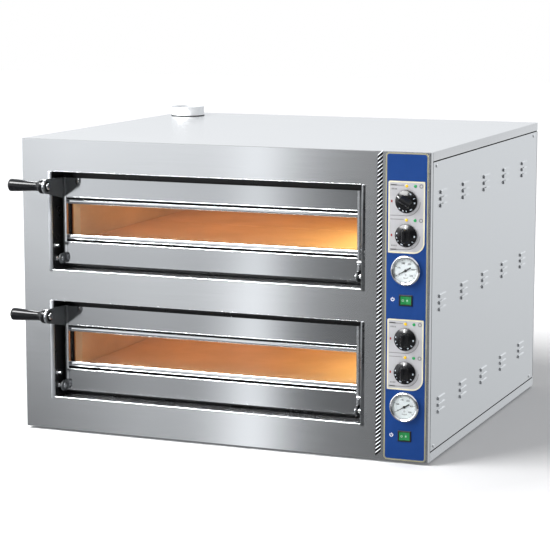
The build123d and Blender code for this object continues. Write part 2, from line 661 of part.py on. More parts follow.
def gauge_case(base):
    """A round can behind the fascia with a chromed bezel in front."""
    back, face = -OVERLAY_T, -OVERLAY_T - 8.5
    bezel = [(DIAL_R, face + 0.8), (DIAL_R + 1.5, face), (GAUGE_R - 2.5, face), (GAUGE_R, face + 3)]
    inside = GAUGE_CAN_R - SHEET
    can = [(GAUGE_R, back), (GAUGE_CAN_R, back), (GAUGE_CAN_R, 26), (0, 26), (0, 24.5), (inside, 24.5)]
    can += [(inside, face + 2.2), (DIAL_R, face + 2.2)]
    return turned(bezel + can, CONTROL_X, base + GAUGE_H)


def gauge_dial(base):
    """The dial plate and its hub tube."""
    spot = (CONTROL_X, base + GAUGE_H)
    dial = rod("y", GAUGE_CAN_R - SHEET - 0.2, (-3.0, -2.2), spot) + rod("y", 3.0, (-2.2, 10), spot)
    return dial - rod("y", 1.0 + FIT, (-4, 11), spot)


def gauge_glass(base):
    return rod("y", GAUGE_CAN_R - SHEET - 0.2, (-6.8, -5.6), (CONTROL_X, base + GAUGE_H))


def gauge_needle(base):
    """A thin pointer resting at the low end of the scale, on a fine spindle through the dial."""
    corners = [(-1.7, -14.0), (1.7, -14.0), (1.3, 0), (0.35, 21.0), (-0.35, 21.0), (-1.3, 0)]
    blade = plate("y", make_face(Polyline(*corners, close=True)), (-4.6, -4.1))
    blade += rod("y", 3.2, (-4.9, -3.6), (0, 0)) + rod("y", 1.0, (-3.6, 8), (0, 0))
    return Pos(CONTROL_X, 0, base + GAUGE_H) * Rot(0, -120, 0) * blade


def rocker_bezel(base):
    z = base + ROCKER_H
    half_w, half_h = ROCKER_SIZE[0] / 2, ROCKER_SIZE[1] / 2
    x = (CONTROL_X - half_w, CONTROL_X + half_w)
    frame = slab(x, (-OVERLAY_T - 2.2, -OVERLAY_T), (z - half_h, z + half_h))
    frame = fillet(frame.edges().group_by(Axis.Y)[0], 1.2)
    frame += slab((CONTROL_X - 13.6, CONTROL_X + 13.6), (-OVERLAY_T, 26), (z - 10.6, z + 10.6))
    return frame - slab((CONTROL_X - 12.9, CONTROL_X + 12.9), (-5, 14), (z - 9.6, z + 9.6))


def rocker(base):
    """The switch's paddle, tipped to its left position about an upright pivot."""
    corners = [(-12.0, -2.6), (0, -0.9), (12.0, -2.6), (11.6, 3), (4, 7), (-4, 7), (-11.6, 3)]
    paddle = extrude(make_face(Polyline(*corners, close=True)), 9.2, both=True)
    return Pos(CONTROL_X, 1.0, base + ROCKER_H) * Rot(0, 0, ROCKER_TILT) * Pos(0, -1.0, 0) * paddle


def indicator_lamps(x):
    lamps = []
    for base in DECKS.values():
        for height in KNOB_HEIGHTS.values():
            spot = (x, base + height + LAMP_ROW_RISE)
            lens = rod("y", INDICATOR_R - GAP, (-OVERLAY_T - PLATE_T - 1.8, 14), spot)
            lamps.append(fillet(lens.edges().group_by(Axis.Y)[0], 1.5))
    return lamps


def cable_gland():
    """A gland through the rear panel: lock nut inside, hexagon and domed nut outside, bore for a cable."""
    spot = GLAND_XZ
    gland = rod("y", 10.0, (BODY_D - 12, BODY_D), spot)
    gland += rod("y", 14.0, (BODY_D - SHEET - 6, BODY_D - SHEET), spot)
    rear = Plane(origin=(spot[0], BODY_D, spot[1]), x_dir=(1, 0, 0), z_dir=(0, 1, 0))
    gland += extrude(rear * RegularPolygon(15.0, 6), 6)
    dome = rod("y", 12.5, (BODY_D + 6, BODY_D + GLAND_REACH), spot)
    gland += chamfer(dome.edges().group_by(Axis.Y)[-1], 3.0)
    return gland - rod("y", CABLE_R, (BODY_D - 13, BODY_D + GLAND_REACH + 1), spot)


def terminal_block():
    block = slab((905, 985), (840, 872), (SHEET, 34))
    grooves = [slab((905 + 13 * n, 907 + 13 * n), (839, 873), (22, 35)) for n in range(1, 6)]
    screws = [rod("z", 3.2, (28, 35), (913.5 + 13 * n, 856)) for n in range(6)]
    return block.cut(*grooves, *screws)


# ---------------------------------------------------------------- the assembly

def build():
    os.makedirs("parts", exist_ok=True)
    save("base_pan", *base_pan())
    save("feet", *feet())
    save("top_cover", *top_cover())
    save("right_side_panel", side_panel(1))
    save("left_side_panel", side_panel(-1))
    save("rear_panel", rear_panel())
    save("front_fascia", front_fascia())
    save("panel_screws", *panel_screws())
    save("control_overlay", control_overlay())
    save("control_plates", *[control_plate(base) for base in DECKS.values()])
    save("control_bulkhead", control_bulkhead())
    save("steam_collar", steam_collar())
    save("steam_flue", *steam_flue())
    save("recess_frames", *[recess_frame(base) for base in DECKS.values()])
    save("cable_gland", cable_gland())
    save("terminal_block", terminal_block())

    split_z = 395.0
    insulation_z = {"lower": (32.0, split_z), "upper": (split_z, 680.0)}
    for deck, base in DECKS.items():
        save(f"{deck}_chamber_liner", *chamber_liner(base))
        save(f"{deck}_baking_stones", *baking_stones(base))
        save(f"{deck}_heating_elements", *heating_elements(base))
        save(f"{deck}_insulation", insulation(base, insulation_z[deck]))
        save(f"{deck}_door_frame", door_frame(base))
        save(f"{deck}_door_glass", door_glass(base))
        save(f"{deck}_door_trims", *door_trims(base))
        arm = door_arm(base)
        save(f"{deck}_door_arms", arm, mirrored(arm))
        save(f"{deck}_handle_bracket", handle_bracket(base))
        save(f"{deck}_handle_fixings", *handle_fixings(base))
        save(f"{deck}_handle_grip", handle_grip(base))
        for place, height in KNOB_HEIGHTS.items():
            turn = -60.0 if (deck, place) == ("upper", "top") else 0.0
            save(f"{deck}_{place}_spindle", spindle(base, height))
            save(f"{deck}_{place}_knob", knob(base, height, turn))
        save(f"{deck}_gauge_needle", gauge_needle(base))
        save(f"{deck}_rocker", rocker(base))

    bases = list(DECKS.values())
    studs = [make(base) for base in bases for make in (pivot_stud, stop_stud)]
    save("hinge_studs", *studs, *[mirrored(stud) for stud in studs])
    save("chamber_lamp_glasses", *[lamp_glass(base) for base in bases])
    save("chamber_lamp_holders", *[lamp_holder(base) for base in bases])
    save("thermostats", *[thermostat(base, height) for base in bases for height in KNOB_HEIGHTS.values()])
    save("gauge_cases", *[gauge_case(base) for base in bases])
    save("gauge_dials", *[gauge_dial(base) for base in bases])
    save("gauge_glasses", *[gauge_glass(base) for base in bases])
    save("rocker_bezels", *[rocker_bezel(base) for base in bases])
    for colour, x in INDICATORS.items():
        save(f"{colour}_indicator_lamps", *indicator_lamps(x))


build()
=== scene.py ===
"""Looks of the two-deck pizza oven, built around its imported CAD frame. Lengths are metres."""
import json
import math

import bmesh
import bpy
from mathutils import Euler, Matrix, Vector


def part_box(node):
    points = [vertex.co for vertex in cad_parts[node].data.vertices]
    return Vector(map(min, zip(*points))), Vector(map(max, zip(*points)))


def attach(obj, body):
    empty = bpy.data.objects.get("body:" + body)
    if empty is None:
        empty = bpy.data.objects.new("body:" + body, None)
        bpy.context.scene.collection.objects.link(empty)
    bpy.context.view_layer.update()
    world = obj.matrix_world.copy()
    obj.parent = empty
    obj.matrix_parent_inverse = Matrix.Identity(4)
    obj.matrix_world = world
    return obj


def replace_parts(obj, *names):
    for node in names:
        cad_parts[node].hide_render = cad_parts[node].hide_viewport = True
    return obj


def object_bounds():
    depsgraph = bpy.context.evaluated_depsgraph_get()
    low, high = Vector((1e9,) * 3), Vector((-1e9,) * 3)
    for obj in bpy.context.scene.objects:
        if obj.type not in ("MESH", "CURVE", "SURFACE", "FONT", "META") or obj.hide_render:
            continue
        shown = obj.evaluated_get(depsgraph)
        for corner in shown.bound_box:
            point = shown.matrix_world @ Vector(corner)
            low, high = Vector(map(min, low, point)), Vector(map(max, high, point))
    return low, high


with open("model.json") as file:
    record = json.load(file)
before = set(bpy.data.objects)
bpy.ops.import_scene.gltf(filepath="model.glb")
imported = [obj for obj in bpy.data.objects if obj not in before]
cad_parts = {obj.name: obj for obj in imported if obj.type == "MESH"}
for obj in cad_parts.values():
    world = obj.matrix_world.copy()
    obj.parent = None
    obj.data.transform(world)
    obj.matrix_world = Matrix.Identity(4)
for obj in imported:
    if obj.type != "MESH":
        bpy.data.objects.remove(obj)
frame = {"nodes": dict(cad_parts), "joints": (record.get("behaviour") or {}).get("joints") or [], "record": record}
cad_low, cad_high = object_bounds()

MM = 0.001
DECKS = ("upper", "lower")
PLACES = ("top", "bottom")
PIVOT = {joint["name"]: Vector(joint["pos_m"]) for joint in frame["joints"]}
NODES = frame["nodes"]
SCENE = bpy.context.scene

# The casing's own corner: left side, front face, underside
ORIGIN = Vector((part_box("base_pan")[0].x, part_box("top_cover")[0].y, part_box("base_pan")[0].z))
FILM_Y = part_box("control_overlay")[0].y
PLATE_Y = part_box("control_plates")[0].y

# Camera: lens in millimetres, place in body millimetres, turn and dip in degrees
LENS = 131.3
CAMERA_PLACE = (2339.8, -4198.7, 1107.9)
CAMERA_YAW = 21.92
CAMERA_DIP = 8.80

# Doorways, in body millimetres
DOORWAY_X = (78.0, 858.0)
DOOR_GAP = 12.5            # between a door's lower edge and its opening


def at(x, depth, z):
    """A point given in millimetres from the casing's left side, front face and underside."""
    return ORIGIN + Vector((x, depth, z)) * MM


# ---------------------------------------------------------------- camera, light, floor

def make_camera():
    """A long lens in front of the oven, to its right and above it."""
    camera = bpy.data.objects.new("camera", bpy.data.cameras.new("camera"))
    SCENE.collection.objects.link(camera)
    camera.data.sensor_width = 36.0
    camera.data.lens = LENS
    camera.location = at(*CAMERA_PLACE)
    camera.rotation_euler = Euler((math.radians(90 - CAMERA_DIP), 0, math.radians(CAMERA_YAW)))
    camera.data.clip_start, camera.data.clip_end = 0.1, 60
    SCENE.camera = camera


def ramp_node(tree, stops):
    """A grey ramp with (position, brightness) stops."""
    node = tree.nodes.new("ShaderNodeValToRGB")
    elements = node.color_ramp.elements
    while len(elements) < len(stops):
        elements.new(0.5)
    for element, (position, brightness) in zip(elements, stops):
        element.position = position
        element.color = (brightness, brightness, brightness, 1.0)
    return node


def math_node(tree, operation, first, second=None):
    """The outcome of a sum on one or two values, each a socket or a number."""
    node = tree.nodes.new("ShaderNodeMath")
    node.operation = operation
    for socket, value in zip(node.inputs, (first, second)):
        if value is None:
            continue
        if isinstance(value, (int, float)):
            socket.default_value = value
        else:
            tree.links.new(value, socket)
    return node.outputs[0]


# Middles of the studio's parts, in degrees round from the oven's front and up from the horizon
WALL_AZIMUTH, WALL_ELEVATION = 23.0, -9.0
SOFTBOX_AZIMUTH, SOFTBOX_ELEVATION = 66.0, 20.0
FLAG_AZIMUTH = -46.0


def make_world():
    """A white studio whose walls are softly graded, so that the bright steel has something to show."""
    world = bpy.data.worlds.new("studio")
    SCENE.world = world
    world.use_nodes = True
    tree = world.node_tree
    tree.nodes.clear()
    link = tree.links.new
    direction = tree.nodes.new("ShaderNodeTexCoord")
    parts = tree.nodes.new("ShaderNodeSeparateXYZ")
    link(direction.outputs["Generated"], parts.inputs[0])
    x, y, z = parts.outputs
    # Degrees: azimuth 0 is straight out from the oven's front, positive to its left
    leftward, outward = (math_node(tree, "MULTIPLY", part, -1.0) for part in (x, y))
    azimuth = math_node(tree, "ARCTAN2", leftward, outward)
    azimuth = math_node(tree, "MULTIPLY", azimuth, 180 / math.pi)
    elevation = math_node(tree, "MULTIPLY", math_node(tree, "ARCSINE", z), 180 / math.pi)

    def apart(value, centre):
        """How far a direction lies from a centre, in degrees."""
        return math_node(tree, "ABSOLUTE", math_node(tree, "SUBTRACT", value, centre))

    def over(value, low, high):
        """0 to 1 as a value runs from low to high."""
        node = tree.nodes.new("ShaderNodeMapRange")
        link(value, node.inputs["Value"])
        node.inputs["From Min"].default_value = low
        node.inputs["From Max"].default_value = high
        return node.outputs[0]

    def mixed(factor, first, second):
        """First where the factor is 0, second where it is 1."""
        node = tree.nodes.new("ShaderNodeMix")
        node.data_type = "RGBA"
        for socket, value in ((node.inputs[0], factor), (node.inputs[6], first), (node.inputs[7], second)):
            if isinstance(value, (int, float, tuple)):
                socket.default_value = value
            else:
                link(value, socket)
        return node.outputs[2]

    low_az, high_az = 12.0, 34.0
    across = over(azimuth, low_az, high_az)

    def wall(stops):
        """Brightness by azimuth, from (degrees, grey) stops."""
        node = ramp_node(tree, [((a - low_az) / (high_az - low_az), v) for a, v in stops])
        link(across, node.inputs[0])
        return node.outputs[0]

    # The wall in front, as (azimuth, brightness), above and below the line where it meets its table
    upper = wall([(12, 0.15), (19.1, 0.21), (19.7, 0.27), (20.4, 0.35), (21.4, 0.63), (21.9, 0.88),
                  (22.35, 1.12), (22.8, 1.02), (23.3, 0.86), (24.2, 0.88), (25.1, 0.95), (26, 0.97),
                  (27, 1.04), (27.8, 1.08), (28.5, 1.05), (28.9, 1.00), (32, 0.95)])
    lower = wall([(12, 0.06), (19.1, 0.12), (19.7, 0.14), (20.4, 0.14), (21.4, 0.19), (21.9, 0.60),
                  (22.35, 1.38), (22.8, 1.52), (23.3, 0.92), (24.2, 0.43), (25.1, 0.42), (26, 0.40),
                  (27, 0.26), (27.8, 0.13), (28.5, 0.06), (28.9, 0.04), (31, 0.02)])
    front = mixed(over(elevation, -8.7, -9.6), upper, lower)

    # The rest of the room, from straight down to straight up
    sky = ramp_node(tree, [(0.0, 0.22), (0.333, 0.30), (0.428, 0.60), (0.467, 0.775), (0.5, 0.84),
                           (0.56, 0.95), (0.667, 0.92), (1.0, 0.80)])
    link(over(elevation, -90, 90), sky.inputs[0])
    facing = over(apart(azimuth, WALL_AZIMUTH), 16.0, 10.0)
    level = over(apart(elevation, WALL_ELEVATION), 24.0, 12.0)
    zone = math_node(tree, "MULTIPLY", facing, level)
    graded = mixed(zone, sky.outputs[0], front)

    # A tall softbox to the left of the front
    aside, raised = apart(azimuth, SOFTBOX_AZIMUTH), apart(elevation, SOFTBOX_ELEVATION)
    box = math_node(tree, "MULTIPLY", over(aside, 27.0, 23.0), over(raised, 27.0, 24.0))
    graded = mixed(box, graded, (1.75, 1.75, 1.75, 1.0))

    # A broad black flag to the right, which draws dark edges on the rounded bright parts
    aside = apart(azimuth, FLAG_AZIMUTH)
    flag = math_node(tree, "MULTIPLY", over(aside, 56.0, 52.0), over(elevation, 34.0, 22.0))
    flag = math_node(tree, "MULTIPLY", flag, over(elevation, -16.0, -12.0))
    graded = mixed(flag, graded, (0.07, 0.07, 0.075, 1.0))

    # The whole studio is a shade cool
    cool = tree.nodes.new("ShaderNodeMix")
    cool.data_type, cool.blend_type = "RGBA", "MULTIPLY"
    cool.inputs[0].default_value = 1.0
    cool.inputs[7].default_value = (0.975, 1.0, 1.03, 1.0)
    link(graded, cool.inputs[6])
    graded = cool.outputs[2]

    # Matt surfaces get an even light, and the camera sees plain white
    shown = tree.nodes.new("ShaderNodeLightPath")
    backdrop = mixed(shown.outputs["Is Diffuse Ray"], graded, (0.46, 0.46, 0.46, 1.0))
    backdrop = mixed(shown.outputs["Is Camera Ray"], backdrop, (1.0, 1.0, 1.0, 1.0))
    background = tree.nodes.new("ShaderNodeBackground")
    link(backdrop, background.inputs["Color"])
    output = tree.nodes.new("ShaderNodeOutputWorld")
    link(background.outputs[0], output.inputs["Surface"])


def area_light(name, place, target, size, power, colour=(1, 1, 1), glossy=False, diffuse=True):
    """A rectangular soft light; the flat steel is left to show the graded walls alone."""
    light = bpy.data.lights.new(name, "AREA")
    light.shape = "RECTANGLE"
    light.size, light.size_y = size
    light.energy = power
    light.color = colour
    lamp = bpy.data.objects.new(name, light)
    SCENE.collection.objects.link(lamp)
    lamp.location = place
    lamp.rotation_euler = (Vector(target) - Vector(place)).to_track_quat("-Z", "Y").to_euler()
    lamp.visible_glossy = glossy
    lamp.visible_diffuse = diffuse
    lamp.visible_camera = False


def make_floor():
    """White paper, lit a little from behind away from the oven, so that it runs into the white wall."""
    mesh = bpy.data.meshes.new("floor")
    half = 14.0
    corners = [(-half, -half, 0), (half, -half, 0), (half, half, 0), (-half, half, 0)]
    mesh.from_pydata(corners, [], [(0, 1, 2, 3)])
    floor = bpy.data.objects.new("floor", mesh)
    SCENE.collection.objects.link(floor)
    floor.location.z = cad_low.z - 0.0002
    material = bpy.data.materials.new("floor_paper")
    material.use_nodes = True
    tree = material.node_tree
    shader = tree.nodes["Principled BSDF"]
    shader.inputs["Base Color"].default_value = (0.93, 0.93, 0.94, 1)
    shader.inputs["Roughness"].default_value = 0.9
    shader.inputs["Specular IOR Level"].default_value = 0.0
    shader.inputs["Emission Color"].default_value = (1, 1, 1, 1)
    place = tree.nodes.new("ShaderNodeTexCoord")
    away = tree.nodes.new("ShaderNodeVectorMath")
    away.operation = "LENGTH"
    tree.links.new(place.outputs["Object"], away.inputs[0])
    glow = tree.nodes.new("ShaderNodeMapRange")
    for socket, number in (("From Min", 0.9), ("From Max", 1.7), ("To Min", 0.0), ("To Max", 0.6)):
        glow.inputs[socket].default_value = number
    tree.links.new(away.outputs["Value"], glow.inputs["Value"])
    tree.links.new(glow.outputs[0], shader.inputs["Emission Strength"])
    mesh.materials.append(material)
    floor.visible_glossy = False


def deck_base(deck):
    """Height of a deck's opening above the casing's underside, in millimetres."""
    return (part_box(f"{deck}_door_frame")[0].z - ORIGIN.z) / MM - DOOR_GAP


def chamber_lights(deck):
    """A chamber's own warm light: the soft glow under its ceiling, and the lamp in its right wall."""
    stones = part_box(f"{deck}_baking_stones")
    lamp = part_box("chamber_lamp_glasses")
    middle = (stones[0] + stones[1]) / 2
    ceiling = at(0, 0, deck_base(deck) + 203).z
    area_light(f"{deck}_ceiling_glow", (middle.x, middle.y, ceiling), (middle.x, middle.y, middle.z),
               (0.68, 0.66), 1.1, (1.0, 0.50, 0.18))
    wall_x = lamp[0].x - 0.004
    lamp_y = (lamp[0].y + lamp[1].y) / 2
    lamp_z = at(0, 0, deck_base(deck) + 142).z
    area_light(f"{deck}_lamp_glow", (wall_x, lamp_y, lamp_z), (middle.x, lamp_y, middle.z),
               (0.40, 0.10), 1.0 if deck == "upper" else 0.6, (1.0, 0.88, 0.36))


make_camera()
make_world()
make_floor()
area_light("key", (-2.5, -2.3, 2.9), (0, 0, 0.35), (3.2, 3.2), 215)
area_light("softbox", (-1.2, -2.4, 2.7), (0, -0.4, 0.4), (3.0, 1.2), 230, glossy=True, diffuse=False)
for deck_name in DECKS:
    chamber_lights(deck_name)
SCENE.view_settings.view_transform = "Standard"


# ---------------------------------------------------------------- materials

def coordinates(tree, scale=(1, 1, 1)):
    """Object coordinates, which for a CAD node are the row frame's metres, stretched by scale."""
    source = tree.nodes.new("ShaderNodeTexCoord")
    mapping = tree.nodes.new("ShaderNodeMapping")
    mapping.inputs["Scale"].default_value = scale
    tree.links.new(source.outputs["Object"], mapping.inputs[0])
    return mapping.outputs[0]


def noise(tree, vector, scale, detail=3.0, roughness=0.55):
    node = tree.nodes.new("ShaderNodeTexNoise")
    node.inputs["Scale"].default_value = scale
    node.inputs["Detail"].default_value = detail
    node.inputs["Roughness"].default_value = roughness
    tree.links.new(vector, node.inputs["Vector"])
    return node.outputs["Fac"]


def ranged(tree, value, low, high, from_low=0.3, from_high=0.7):
    node = tree.nodes.new("ShaderNodeMapRange")
    tree.links.new(value, node.inputs["Value"])
    for name, number in (("From Min", from_low), ("From Max", from_high), ("To Min", low), ("To Max", high)):
        node.inputs[name].default_value = number
    return node.outputs[0]


def shade(tree, value, dark, light, from_low=0.3, from_high=0.7):
    """A colour between dark and light, by a 0 to 1 value."""
    node = tree.nodes.new("ShaderNodeMix")
    node.data_type = "RGBA"
    node.inputs[6].default_value = (*dark, 1)
    node.inputs[7].default_value = (*light, 1)
    tree.links.new(ranged(tree, value, 0, 1, from_low, from_high), node.inputs[0])
    return node.outputs[2]


def bump(tree, height, strength, distance):
    node = tree.nodes.new("ShaderNodeBump")
    node.inputs["Strength"].default_value = strength
    node.inputs["Distance"].default_value = distance
    tree.links.new(height, node.inputs["Height"])
    return node.outputs[0]


def start(name, metallic=0.0, **settings):
    """A new material: its node tree and its shader, with the sockets named in settings set."""
    material = bpy.data.materials.new(name)
    material.use_nodes = True
    tree = material.node_tree
    shader = tree.nodes["Principled BSDF"]
    shader.inputs["Metallic"].default_value = metallic
    for socket, value in settings.items():
        shader.inputs[socket.replace("_", " ")].default_value = value
    return material, tree, shader


def tint(colour, factor):
    return tuple(min(1.0, channel * factor) for channel in colour)


def blended(tree, first, second, share):
    """The weighted sum of two values, with the given share of the first."""
    rest = round(1 - share, 3)
    return math_node(tree, "ADD", math_node(tree, "MULTIPLY", first, share),
                     math_node(tree, "MULTIPLY", second, rest))


def varied(tree, shader, value, colour, spread):
    """Base colour that varies by spread either way, by a 0 to 1 value."""
    tone = shade(tree, value, tint(colour, 1 - spread), tint(colour, 1 + spread))
    tree.links.new(tone, shader.inputs["Base Color"])


def brushed(name, colour, grain, roughness, anisotropic=0.75, streak=0.03, around="X"):
    """Brushed sheet: grain is the stretch of its scratches along x, y and z, around the axis they follow."""
    material, tree, shader = start(name, 1.0)
    shader.inputs["Anisotropic"].default_value = anisotropic
    fine = noise(tree, coordinates(tree, grain), 1.0, 4.0, 0.7)
    coarse = noise(tree, coordinates(tree, tuple(g * 0.16 for g in grain)), 1.0, 2.0)
    cloud = noise(tree, coordinates(tree), 3.2, 2.0)
    both = blended(tree, fine, coarse, 0.8)
    varied(tree, shader, both, colour, streak)
    polish = ranged(tree, cloud, roughness - 0.006, roughness + 0.006)
    blur = math_node(tree, "ADD", ranged(tree, both, -0.008, 0.008), polish)
    tree.links.new(blur, shader.inputs["Roughness"])
    tree.links.new(bump(tree, fine, 0.004, 0.0002), shader.inputs["Normal"])
    tangent = tree.nodes.new("ShaderNodeTangent")
    tangent.direction_type = "RADIAL"
    tangent.axis = around
    tree.links.new(tangent.outputs[0], shader.inputs["Tangent"])
    return material


def plain_metal(name, colour, roughness, mottle=0.04, scale=40.0, dents=0.03):
    """Metal with soft variation in tone and polish."""
    material, tree, shader = start(name, 1.0)
    spots = noise(tree, coordinates(tree), scale, 4.0)
    varied(tree, shader, spots, colour, mottle)
    tree.links.new(ranged(tree, spots, roughness * 0.8, roughness * 1.2), shader.inputs["Roughness"])
    tree.links.new(bump(tree, spots, dents, 0.0004), shader.inputs["Normal"])
    return material


def coated(name, colour, roughness, grain_scale=900.0, grain=0.05, mottle=0.08, specular=0.5):
    """Paint, plastic or film: fine surface texture, slight variation in tone and gloss."""
    material, tree, shader = start(name)
    shader.inputs["Specular IOR Level"].default_value = specular
    fine = noise(tree, coordinates(tree), grain_scale, 3.0)
    broad = noise(tree, coordinates(tree), 28.0, 3.0)
    varied(tree, shader, broad, colour, mottle)
    tree.links.new(ranged(tree, broad, roughness * 0.85, roughness * 1.15), shader.inputs["Roughness"])
    tree.links.new(bump(tree, fine, grain, 0.0003), shader.inputs["Normal"])
    return material


def clear(name, colour=(0.96, 0.99, 0.98), smear=0.015):
    """Glass with a trace of wipe marks in its gloss."""
    material, tree, shader = start(name, Transmission_Weight=1.0, IOR=1.28)
    shader.inputs["Base Color"].default_value = (*colour, 1)
    wipes = noise(tree, coordinates(tree, (6, 6, 30)), 3.0, 3.0)
    tree.links.new(ranged(tree, wipes, 0.0, smear), shader.inputs["Roughness"])
    return material


def lit(name, colour, strength, roughness=0.25):
    """A lens with a soft inner glow, its tone varied in small spots."""
    material, tree, shader = start(name, Roughness=roughness)
    shader.inputs["Coat Weight"].default_value = 0.6
    spots = noise(tree, coordinates(tree), 260.0, 2.0)
    tone = shade(tree, spots, tint(colour, 0.85), tint(colour, 1.1))
    tree.links.new(tone, shader.inputs["Base Color"])
    tree.links.new(tone, shader.inputs["Emission Color"])
    shader.inputs["Emission Strength"].default_value = strength
    return material


STEEL = (0.76, 0.77, 0.78)
ALONG_X, ALONG_Y = (9.0, 700.0, 700.0), (700.0, 9.0, 700.0)
MATERIALS = {
    "stainless": brushed("stainless", STEEL, ALONG_X, 0.13, 1.0),
    "side_stainless": brushed("side_stainless", (0.77, 0.785, 0.795), ALONG_Y, 0.26, 0.5, 0.012, around="Y"),
    "top_stainless": brushed("top_stainless", (0.74, 0.745, 0.75), ALONG_X, 0.26, 0.5),
    "door_stainless": brushed("door_stainless", (0.60, 0.61, 0.62), ALONG_X, 0.097, 1.0, 0.02),
    "galvanised": plain_metal("galvanised", (0.60, 0.62, 0.63), 0.42, 0.12, 55.0, 0.08),
    "black_enamel": coated("black_enamel", (0.012, 0.012, 0.013), 0.30, 500.0, 0.06),
    "clear_glass": clear("clear_glass"),
    "lever_steel": coated("lever_steel", (0.055, 0.060, 0.064), 0.42, 700.0, 0.08),
    "phenolic": coated("phenolic", (0.003, 0.003, 0.004), 0.12, 300.0, 0.01, specular=0.4),
    "chrome": plain_metal("chrome", (0.88, 0.89, 0.90), 0.07, 0.02, 60.0, 0.01),
    "blue_film": coated("blue_film", (0.006, 0.045, 0.205), 0.42, 1200.0, 0.05, 0.04, specular=0.15),
    "border_ink": coated("border_ink", (0.30, 0.285, 0.185), 0.40, 1200.0, 0.03),
    "cream_ink": coated("cream_ink", (0.72, 0.68, 0.49), 0.40, 1200.0, 0.03),
    "grey_ink": coated("grey_ink", (0.22, 0.22, 0.22), 0.45, 1200.0, 0.03),
    "red_ink": coated("red_ink", (0.26, 0.012, 0.008), 0.40, 1200.0, 0.03),
    "white_ink": coated("white_ink", (0.88, 0.89, 0.90), 0.40, 1200.0, 0.03),
    "black_ink": coated("black_ink", (0.01, 0.01, 0.01), 0.40, 1200.0, 0.03),
    "pale_mark": coated("pale_mark", (0.52, 0.58, 0.64), 0.35, 1200.0, 0.03),
    "print_plate": coated("print_plate", (0.46, 0.46, 0.48), 0.42, 1200.0, 0.04, 0.03, specular=0.3),
    "knob_black": coated("knob_black", (0.004, 0.004, 0.005), 0.20, 700.0, 0.03, specular=0.4),
    "spindle_steel": plain_metal("spindle_steel", (0.66, 0.64, 0.58), 0.3),
    "needle": coated("needle", (0.008, 0.008, 0.008), 0.4),
    "dial": coated("dial", (0.66, 0.67, 0.69), 0.45, 1500.0, 0.04, 0.02),
    "switch_black": coated("switch_black", (0.010, 0.010, 0.010), 0.40, 900.0, 0.08),
    "switch_green": lit("switch_green", (0.012, 0.24, 0.06), 0.05),
    "switch_mark": coated("switch_mark", (0.34, 0.56, 0.42), 0.35, 1200.0, 0.03),
    "amber_lens": lit("amber_lens", (0.86, 0.52, 0.01), 0.12),
    "green_lens": lit("green_lens", (0.02, 0.32, 0.09), 0.06),
    # Matt black for the lever washers, and for the strips and sheets of painted shade in joints, gaps, behind the
    # vents and round the collar's foot.
    "black_seal_and_shade": coated("black_seal_and_shade", (0.004, 0.004, 0.004), 0.8, 600.0, 0.15, specular=0.1),
    # A whiter copy of the steel for rolled edges, vent lips and stiles: partly a painted highlight, standing in
    # for the light these edges catch.
    "painted_highlight_steel": plain_metal("painted_highlight_steel", (0.86, 0.87, 0.88), 0.16, 0.03, 80.0, 0.02),
    "collar_steel": plain_metal("collar_steel", (0.84, 0.85, 0.86), 0.55, 0.03, 30.0, 0.02),
    # Lit and shaded copies of the bead steel: painted light on the left beads, painted shade on the right ones.
    "bead_painted_lit": plain_metal("bead_painted_lit", (0.56, 0.575, 0.595), 0.60, 0.03, 60.0, 0.02),
    "bead_painted_shaded": plain_metal("bead_painted_shaded", (0.20, 0.205, 0.21), 0.30, 0.05, 60.0, 0.02),
    "trim_steel": brushed("trim_steel", (0.80, 0.81, 0.82), ALONG_X, 0.10, 0.8, 0.02),
    "black_plastic": coated("black_plastic", (0.02, 0.02, 0.02), 0.5, 900.0, 0.10),
    "control_body": coated("control_body", (0.70, 0.67, 0.56), 0.5, 900.0, 0.05),
    "ceramic": coated("ceramic", (0.80, 0.77, 0.70), 0.3, 300.0, 0.05),
    "rubber": coated("rubber", (0.02, 0.02, 0.02), 0.7, 600.0, 0.15),
    "element": coated("element", (0.06, 0.05, 0.045), 0.45, 400.0, 0.2, 0.3),
}


def hot_liner(name, colour):
    """Chamber steel: straw and brown heat tints in soft clouds, a faint rolled grain."""
    material, tree, shader = start(name, 0.55)
    clouds = noise(tree, coordinates(tree, (1, 1, 2)), 5.0, 4.0)
    grain = noise(tree, coordinates(tree, (12, 12, 300)), 1.0, 3.0)
    tree.links.new(shade(tree, clouds, tint(colour, 0.86), tint(colour, 1.08)), shader.inputs["Base Color"])
    tree.links.new(ranged(tree, grain, 0.45, 0.60), shader.inputs["Roughness"])
    tree.links.new(bump(tree, grain, 0.10, 0.0005), shader.inputs["Normal"])
    return material


def baked_stone(name, colour):
    """Fired cordierite: fine grit, pores and faint baking stains."""
    material, tree, shader = start(name, Roughness=0.85)
    stains = noise(tree, coordinates(tree), 9.0, 5.0)
    grit = noise(tree, coordinates(tree), 420.0, 4.0, 0.7)
    both = blended(tree, stains, grit, 0.7)
    tree.links.new(shade(tree, both, tint(colour, 0.86), tint(colour, 1.10)), shader.inputs["Base Color"])
    tree.links.new(bump(tree, grit, 0.5, 0.0008), shader.inputs["Normal"])
    return material


def wool(name, colour):
    """Mineral wool: coarse fibres laid mostly flat."""
    material, tree, shader = start(name, Roughness=1.0)
    fibres = noise(tree, coordinates(tree, (60, 60, 400)), 1.0, 6.0, 0.8)
    tree.links.new(shade(tree, fibres, tint(colour, 0.7), tint(colour, 1.1)), shader.inputs["Base Color"])
    tree.links.new(bump(tree, fibres, 0.8, 0.004), shader.inputs["Normal"])
    return material


MATERIALS["liner"] = hot_liner("liner", (0.72, 0.55, 0.37))
MATERIALS["stone"] = baked_stone("stone", (0.62, 0.40, 0.24))
MATERIALS["mineral_wool"] = wool("mineral_wool", (0.66, 0.60, 0.42))

OWN_MATERIAL = {
    "right_side_panel": "side_stainless",
    "left_side_panel": "side_stainless",
    "top_cover": "top_stainless",
    "steam_collar": "collar_steel",
    "base_pan": "side_stainless",
    "upper_door_arms": "lever_steel",
    "lower_door_arms": "lever_steel",
}


